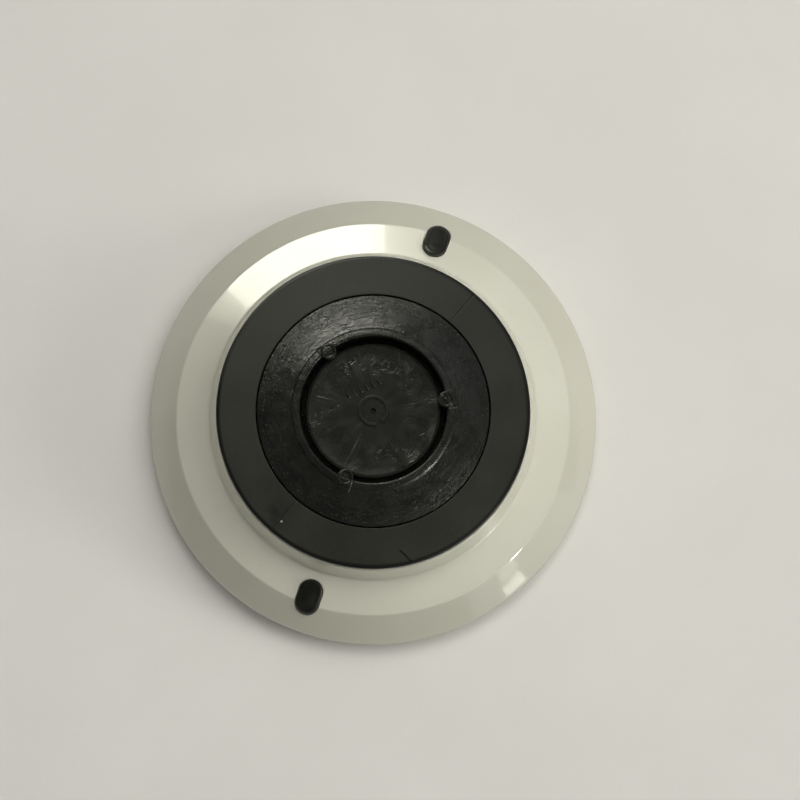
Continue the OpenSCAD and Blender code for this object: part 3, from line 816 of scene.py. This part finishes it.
def matte_ring():
    """The black ring round the cap, with the two faint weld lines across it and a short scratch."""
    top = [(RING_R, RING_LOW_Z, 0.3), (RING_R, RING_EDGE_Z, 0.7), (SEAM_OUT_R, SEAM_Z, 0.14),
           (SEAM_OUT_R, SEAM_Z - CAP_WALL, 0), (RING_R - CAP_WALL, RING_EDGE_Z - CAP_WALL, 0),
           (RING_R - CAP_WALL, RING_LOW_Z, 0)]
    azimuths = set(columns(COLUMNS))
    for weld in WELD_AZIMUTHS:
        azimuths |= {weld + step for step in (-0.7, -0.35, -0.2, -0.1, 0, 0.1, 0.2, 0.35, 0.7)}

    def lift(azimuth, r, z):
        near = min(abs(azimuth - weld) for weld in WELD_AZIMUTHS)
        return -WELD_DEPTH * max(0.0, 1 - near / WELD_HALF) if z > RING_EDGE_Z - 0.3 else 0.0

    shape = Shape()
    shape.add(*spun(outline(top), sorted(azimuths), lift))
    ring = mesh_object("matte_ring", shape)

    def on_face(r, azimuth):
        up = (RING_R - r) / (RING_R - SEAM_OUT_R)
        return on_axis(r, azimuth, RING_EDGE_Z + up * (SEAM_Z - RING_EDGE_Z))

    scratch = Shape()
    path = smooth_path([on_face(r, azimuth) for r, azimuth in SCRATCH_PLACES])
    scratch.add(*bar(path, 0.42, 1.2, depth=0.6, steps=2))
    cut(ring, scratch)
    return ring


def cone_outline():
    """Corners of the cone's section: flange, seam, rounded lip, well, and the inside one wall behind."""
    return [(FLANGE_R, NECK_Z, 0), (FLANGE_R, NECK_Z + FLANGE_T, 0), (SEAM_IN_R, NECK_Z + FLANGE_T, 0),
            (SEAM_IN_R, SEAM_Z, 0.14), (WELL_R + 1.95, CONE_LIP_Z - 0.78, 0.5),
            (WELL_R + 1.5, CONE_LIP_Z - 0.42, 0.25), (WELL_R, CONE_LIP_Z, 0.45),
            (WELL_R, WELL_FLOOR_Z + 1.5, 0), (CARRIER_R, WELL_FLOOR_Z + 1.5, 0),
            (CARRIER_R, WELL_FLOOR_Z, 0), (WELL_R + CAP_WALL, WELL_FLOOR_Z, 0),
            (WELL_R + CAP_WALL, LIP_Z - 2.9, 1), (SEAM_IN_R - CAP_WALL, SEAM_Z - CAP_WALL, 0.5),
            (SEAM_IN_R - CAP_WALL, NECK_Z, 0)]


def cone_height(r):
    """Height of the cone's upper face at a radius."""
    upper = [p for p in outline(cone_outline(), 0.2)
             if p.y > SEAM_Z - 0.5 and WELL_R - 0.01 <= p.x <= SEAM_IN_R]
    upper.sort(key=lambda p: p.x)
    for a, b in zip(upper, upper[1:]):
        if a.x <= r <= b.x and b.x > a.x:
            return a.y + (b.y - a.y) * (r - a.x) / (b.x - a.x)
    return upper[-1].y


def gloss_cone():
    """The glossy cone and its lip, with a low pad beside each post, the sockets and fine flow lines."""
    pad_rise, pad_slope = 0.2, 0.16
    # azimuth, half width and outer radius of each pad
    pads = ((POST_AZIMUTHS[0], 2.1, 18.0), (POST_AZIMUTHS[1], 1.9, 17.6), (POST_AZIMUTHS[2], 1.9, 18.5))

    def lift(azimuth, r, z):
        if z < LIP_Z - 2.2 or r < WELL_R + 0.02:
            return 0.0
        raised = 0.0
        for pad_azimuth, half, reach in pads:
            across = abs(math.radians((azimuth - pad_azimuth + 180) % 360 - 180)) * r
            step = min(1, max(0, (half - across) / pad_slope)) * min(1, max(0, (reach - r) / pad_slope))
            raised = max(raised, step)
        return raised * min(pad_rise, LIP_Z - 0.01 - z)

    shape = Shape()
    azimuths = set(columns(FINE_COLUMNS))
    edge_step = 0.25
    for pad_azimuth, half, reach in pads:
        edge = math.degrees(half / reach)
        for side in (-1, 1):
            azimuths |= {(pad_azimuth + side * (edge + edge_step * i)) % 360 for i in range(-3, 6)}
    shape.add(*spun(outline(cone_outline(), 0.5), sorted(azimuths), lift))
    boss_r, boss_low, boss_high = POST_R + CAP_WALL, DISC_Z - 4.5, DISC_Z + 0.7
    boss = [(0, boss_low, 0), (boss_r, boss_low, 0), (boss_r, boss_high, 0), (0, boss_high, 0)]
    for azimuth in POST_AZIMUTHS:
        shape.add(*spun(outline(boss, 4), columns(48)), at(azimuth, WELL_R))
    cone = mesh_object("gloss_cone", shape)
    sockets = []
    for azimuth in POST_AZIMUTHS:
        socket = Shape()
        socket.add(*cylinder(POST_R + 0.06, DISC_Z - 3, LIP_Z + 3, 72), at(azimuth, WELL_R))
        sockets.append(socket)
    well = Shape()
    well.add(*cylinder(WELL_R - 0.001, DISC_Z - 5.9, LIP_Z + 3, FINE_COLUMNS))
    cut(cone, well, *sockets)
    lines = Shape()
    for path in cone_lines():
        lines.add(*bar(smooth_path(path), 0.26, 0.17))
    return joined(cone, mesh_object("cone_lines", lines))


def cone_lines():
    """Paths of the fine raised flow lines on the cone, outside a post."""
    def path(*places):
        return [on_axis(r, azimuth, cone_height(r)) for r, azimuth in places]

    ear = POST_AZIMUTHS[1]
    return [
        path((17.7, ear - 2.5), (18.3, ear - 4), (19.6, ear - 4.5)),
        path((17.6, ear + 3.5), (18.0, ear + 6), (18.3, ear + 9), (18.9, ear + 9.6)),
    ]


def joined(first, *others):
    """Puts other objects' meshes into the first one's."""
    bm = bmesh.new()
    for piece in (first, *others):
        bm.from_mesh(piece.data)
    bm.to_mesh(first.data)
    bm.free()
    for piece in others:
        bpy.data.objects.remove(piece)
    return first


def flow_disc():
    """The recessed disc with its low waves, plain ring, row of plain dashes and the three clip posts."""
    body = [(0, DISC_Z, 0), (DISC_R, DISC_Z, 0.14), (DISC_R, DISC_Z - DISC_T, 0.2), (0, DISC_Z - DISC_T, 0)]
    # azimuth, half width in degrees, height and first radius of each crease
    creases = ((POST_AZIMUTHS[0] + 1, 0.9, 0.05, 5), (POST_AZIMUTHS[2] - 5, 1.1, 0.13, 5),
               (166, 1.0, 0.08, 9))
    trough_azimuth, trough_half, trough_depth = 103, 6.5, 0.09
    gate_r, gate_depth = 0.5, 0.8
    arm_length, arm_width, arm_height = 2.5, 2.0, 0.9

    def turned(azimuth, other):
        return (azimuth - other + 180) % 360 - 180

    def lift(azimuth, r, z):
        if z < DISC_Z - 0.01 or r > DISC_R - 0.5:
            return 0.0
        if r < gate_r:
            return -gate_depth
        a = math.radians(azimuth)
        streak = noise.noise(Vector((math.cos(a) * 3.1, math.sin(a) * 3.1, r * 0.06)))
        wave = noise.noise(Vector((r * math.cos(a) * 0.28, r * math.sin(a) * 0.28, 7.3)))
        raised = 0.2 * streak * min(1, r / 8) + 0.12 * wave - 0.08 - 0.25 * (r / DISC_R) ** 2
        for crease, half, height, start_r in creases:
            raised += height * max(0.0, 1 - abs(turned(azimuth, crease)) / half) * min(1, max(0, r - start_r))
        inside = trough_half - abs(turned(azimuth, trough_azimuth))
        raised -= trough_depth * min(1.0, max(0.0, inside / 1.2)) * min(1, max(0, (r - 5) / 4))
        return raised * min(1, (DISC_R - 0.5 - r) / 1.5)

    shape = Shape()
    shape.add(*spun(outline(body, 0.3)[:-1] + [Vector((0, DISC_Z - DISC_T))], columns(COLUMNS), lift))
    for path, width, height in disc_ring_and_dashes():
        shape.add(*bar(path, width, height, crown=0.3))
    for azimuth in POST_AZIMUTHS:
        shape.add(*spun(post_outline(), columns(72)), at(azimuth, WELL_R))
        arm = arm_block(arm_length, arm_width, arm_height)
        shape.add(*arm, at(azimuth, DISC_R - 1.5 + arm_length / 2, DISC_Z - DISC_T + 0.2 + arm_height / 2))
    return mesh_object("flow_disc", shape)


def post_outline():
    """A clip post, whose dished top has a soft rim and a small pip in the middle."""
    bottom = DISC_Z - POST_DEPTH
    rim = POST_R - 0.55
    return outline([(0, bottom, 0), (POST_R, bottom, 0.2), (POST_R, LIP_Z, 0.27), (rim, LIP_Z, 0.26),
                    (rim - 0.12, LIP_Z - 0.3, 0.1), (0.4, LIP_Z - 0.24, 0.1), (0.28, LIP_Z - 0.05, 0.12),
                    (0, LIP_Z - 0.05, 0)], 0.3)


def arm_block(length, width, height):
    """A small block with softened edges, centred on its place."""
    bm = bmesh.new()
    bmesh.ops.create_cube(bm, size=1, matrix=Matrix.Diagonal((length, width, height, 1)))
    bmesh.ops.bevel(bm, geom=bm.edges, offset=0.1, segments=2, affect="EDGES")
    verts = [v.co.copy() for v in bm.verts]
    faces = [tuple(v.index for v in f.verts) for f in bm.faces]
    bm.free()
    return verts, faces


def disc_ring_and_dashes():
    """Paths, widths and heights of a plain open ring round the gate and of a row of plain dashes."""
    ring_r, ring_width, ring_height, opening = 3.0, 0.8, 0.3, 9
    row_azimuth, row_r, dashes, pitch = 113.8, 5.2, 6, 1.45
    dash_half, dash_lean, dash_width, dash_height = 0.7, 0.12, 0.55, 0.26
    angles = range(opening, 361 - opening, 6)
    ring = [on_axis(ring_r, row_azimuth + 180 + angle, DISC_Z) for angle in angles]
    made = [(ring, ring_width, ring_height)]
    turn = at(row_azimuth)
    for i in range(dashes):
        middle = (i - (dashes - 1) / 2) * pitch
        ends = [turn @ Vector((row_r + s * dash_half, middle + s * dash_lean, DISC_Z)) for s in (-1, 1)]
        made.append((smooth_path(ends), dash_width, dash_height))
    return made


# ---- Stage ----

FLOOR_COLOUR = (0.765, 0.748, 0.715)


def floor_paper():
    """Plain pale warm paper, with the faint cloudiness of its fibres."""
    g = Graph("floor_paper")
    cloud = g.noise(45, 3)
    fibre = g.noise(1.2, 4, 0.65)
    colour = g.mix(g.fade(cloud, 0.3, 0.7), FLOOR_COLOUR, (0.79, 0.775, 0.742))
    colour = g.mix(g.fade(fibre, 0.55, 0.8, 0, 0.25), colour, (0.71, 0.695, 0.655))
    g.bumped((fibre, 0.02))
    return g.finish(colour, 0.75)


def make_floor():
    """A wide thin slab just under the back of the part."""
    half, thickness, top = 1500.0, 10.0, -0.02
    shape = Shape()
    corners = [(-half, -half), (half, -half), (half, half), (-half, half)]
    verts = [(x, y, z) for z in (-thickness, top) for x, y in corners]
    sides = [(i, (i + 1) % 4, (i + 1) % 4 + 4, i + 4) for i in range(4)]
    shape.add(verts, [(3, 2, 1, 0), (4, 5, 6, 7)] + sides)
    floor = mesh_object("floor", shape)
    floor.data.materials.append(floor_paper())


def direction(azimuth, polar):
    """Unit vector at an azimuth, and an angle down from +Z."""
    a, p = math.radians(azimuth), math.radians(polar)
    return Vector((math.cos(a) * math.sin(p), math.sin(a) * math.sin(p), math.cos(p)))


def area_light(name, azimuth, polar, distance, size, radiance, colour, diffuse=True, glossy=True):
    """A soft rectangular light that faces the object. Its radiance is what a mirror would show."""
    light = bpy.data.lights.new(name, "AREA")
    light.shape = "RECTANGLE"
    light.size, light.size_y = size
    light.energy = radiance * math.pi * size[0] * size[1]
    light.color = colour
    placed = bpy.data.objects.new(name, light)
    towards = direction(azimuth, polar)
    placed.location = towards * distance
    placed.rotation_euler = towards.to_track_quat("Z", "Y").to_euler()
    placed.visible_diffuse = diffuse
    placed.visible_glossy = glossy
    scene.collection.objects.link(placed)


DAYLIGHT = (1.0, 0.998, 0.95)
WINDOW_LIGHT = (1.0, 1.0, 0.88)
PANEL_LIGHT = (1.0, 1.0, 0.86)
SKY_LIGHT = (0.95, 0.98, 1.0)


def make_lights():
    """Soft light from overhead and the right, and the ceiling panel and window that the mouldings mirror.

    Each line gives the azimuth, the angle down from +Z, the distance and size in metres, and the radiance.
    """
    area_light("top_soft", 0, 1, 1.3, (0.6, 0.6), 3.5, DAYLIGHT, glossy=False)
    area_light("top_back", 90, 18, 1.3, (0.3, 0.3), 7.4, DAYLIGHT, glossy=False)
    area_light("top_right", 30, 32, 1.3, (0.9, 0.9), 2.2, DAYLIGHT, glossy=False)
    area_light("key_right", 350, 62, 1.3, (0.4, 0.4), 8.3, DAYLIGHT, glossy=False)
    area_light("ceiling_panel", 110, 50, 1.3, (0.84, 0.32), 10.0, PANEL_LIGHT, diffuse=False)
    area_light("ceiling_glow", 108, 50, 1.27, (1.25, 0.26), 3.0, PANEL_LIGHT, diffuse=False)
    area_light("ceiling_sheen", 0, 0, 2.2, (4.5, 4.5), 0.09, DAYLIGHT, diffuse=False)
    area_light("ceiling_right", 32, 42, 1.6, (1.0, 0.5), 0.6, SKY_LIGHT, diffuse=False)
    area_light("front_panel", 272, 62, 1.4, (1.1, 0.18), 0.5, DAYLIGHT, diffuse=False)
    area_light("window_side", -38, 84, 1.6, (1.3, 0.4), 0.6, DAYLIGHT, diffuse=False)
    area_light("window", -46, 88.25, 1.4, (0.175, 0.047), 4.2, WINDOW_LIGHT, diffuse=False)
    for i, polar in enumerate((86.35, 85.6)):
        area_light("blind_%d" % (i + 1), -45, polar, 1.4, (0.17, 0.005), 7.0, WINDOW_LIGHT, diffuse=False)
    area_light("crease_glow", -42, 78, 1.4, (1.3, 0.2), 4.0, WINDOW_LIGHT, diffuse=False)
    area_light("crease_glint", -40, 77, 1.39, (0.11, 0.3), 34.0, WINDOW_LIGHT, diffuse=False)


ROOM_LIGHT = 0.1
ROOM_COLOUR = (1.0, 0.99, 0.93)
ROOM_BRIGHT_SIDE = 40
ROOM_DIMMEST, ROOM_BRIGHTEST = 0.45, 1.55
GAP_LEVEL = 0.25
GAP_AZIMUTH, GAP_POLAR = 90, 5.5
GAP_INNER, GAP_OUTER = 10, 32


def make_room():
    """A dim room, brighter on one side, with a dark gap overhead where the lights leave off."""
    world = bpy.data.worlds.new("studio")
    world.use_nodes = True
    tree = world.node_tree
    place = tree.nodes.new("ShaderNodeTexCoord").outputs["Generated"]

    def towards(vector):
        dot = tree.nodes.new("ShaderNodeVectorMath")
        dot.operation = "DOT_PRODUCT"
        tree.links.new(place, dot.inputs[0])
        dot.inputs[1].default_value = vector
        return dot.outputs["Value"]

    def ranged(value, start, end, low_value, high_value):
        node = tree.nodes.new("ShaderNodeMapRange")
        tree.links.new(value, node.inputs["Value"])
        numbers = {"From Min": start, "From Max": end, "To Min": low_value, "To Max": high_value}
        for name, number in numbers.items():
            node.inputs[name].default_value = number
        return node.outputs[0]

    side = ranged(towards(direction(ROOM_BRIGHT_SIDE, 90)), -1, 1, ROOM_DIMMEST, ROOM_BRIGHTEST)
    gap = ranged(towards(direction(GAP_AZIMUTH, GAP_POLAR)), math.cos(math.radians(GAP_OUTER)),
                 math.cos(math.radians(GAP_INNER)), 1.0, GAP_LEVEL)
    strength = tree.nodes.new("ShaderNodeMath")
    strength.operation = "MULTIPLY"
    tree.links.new(side, strength.inputs[0])
    tree.links.new(gap, strength.inputs[1])
    scaled = tree.nodes.new("ShaderNodeMath")
    scaled.operation = "MULTIPLY"
    tree.links.new(strength.outputs[0], scaled.inputs[0])
    scaled.inputs[1].default_value = ROOM_LIGHT
    background = tree.nodes["Background"]
    background.inputs["Color"].default_value = (*ROOM_COLOUR, 1)
    tree.links.new(scaled.outputs[0], background.inputs["Strength"])
    scene.world = world


CAMERA_DISTANCE = 0.5
CAMERA_TILT = 5.5
CAMERA_LENS = 98.7
CAMERA_SENSOR = 36.0
CAMERA_AIM = Vector((0.00599, 0.00457, 0.008))


def make_camera():
    """A long lens, tilted off the axis towards -Y and aimed beside the middle of the part."""
    data = bpy.data.cameras.new("camera")
    data.sensor_width = CAMERA_SENSOR
    data.lens = CAMERA_LENS
    data.clip_start, data.clip_end = 0.02, 20
    data.dof.use_dof = False
    camera = bpy.data.objects.new("camera", data)
    camera.location = direction(-90, CAMERA_TILT) * CAMERA_DISTANCE
    back = camera.location - CAMERA_AIM
    side = Vector((0, 1, 0)).cross(back).normalized()
    up = back.cross(side).normalized()
    camera.rotation_euler = Matrix((side, up, back.normalized())).transposed().to_euler()
    scene.collection.objects.link(camera)
    scene.camera = camera


# ---- Everything together ----

scene.view_settings.view_transform = "Standard"
make_camera()
make_lights()
make_room()
make_floor()

head = "head"
finish_piece(cover_shell(), glossy_white(), "cover_white", head, "head_cover")
lens_material = smoked_lens()
for node, azimuth in PIPE_AZIMUTHS.items():
    finish_piece(pipe_lens(node, azimuth), lens_material, "smoked_lens", head, node)
finish_piece(matte_ring(), matte_black(), "ring_black", head, "sensor_ring")
finish_piece(gloss_cone(), cap_black(), "cap_black", head, "sensor_cone")
finish_piece(flow_disc(), disc_black(), "cap_black", head, "heat_disc")

FINISHES = {
    "base_white": satin_white(), "lamp_red": lamp_red(), "screw_steel": screw_steel(),
    "contact_brass": contact_brass(), "contact_steel": contact_steel(), "board_green": board_green(),
    "chip_black": chip_black(), "chip_ceramic": chip_ceramic(), "can_aluminium": can_aluminium(),
    "seal_rubber": seal_rubber(), "bead_epoxy": bead_epoxy(), "carrier_nylon": carrier_nylon(),
    "lead_wire": lead_wire(),
}
for node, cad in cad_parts.items():
    for material_slot in cad.material_slots:
        if not cad.hide_render and material_slot.material:
            material_slot.material = FINISHES[material_slot.material.name.split(".")[0]]
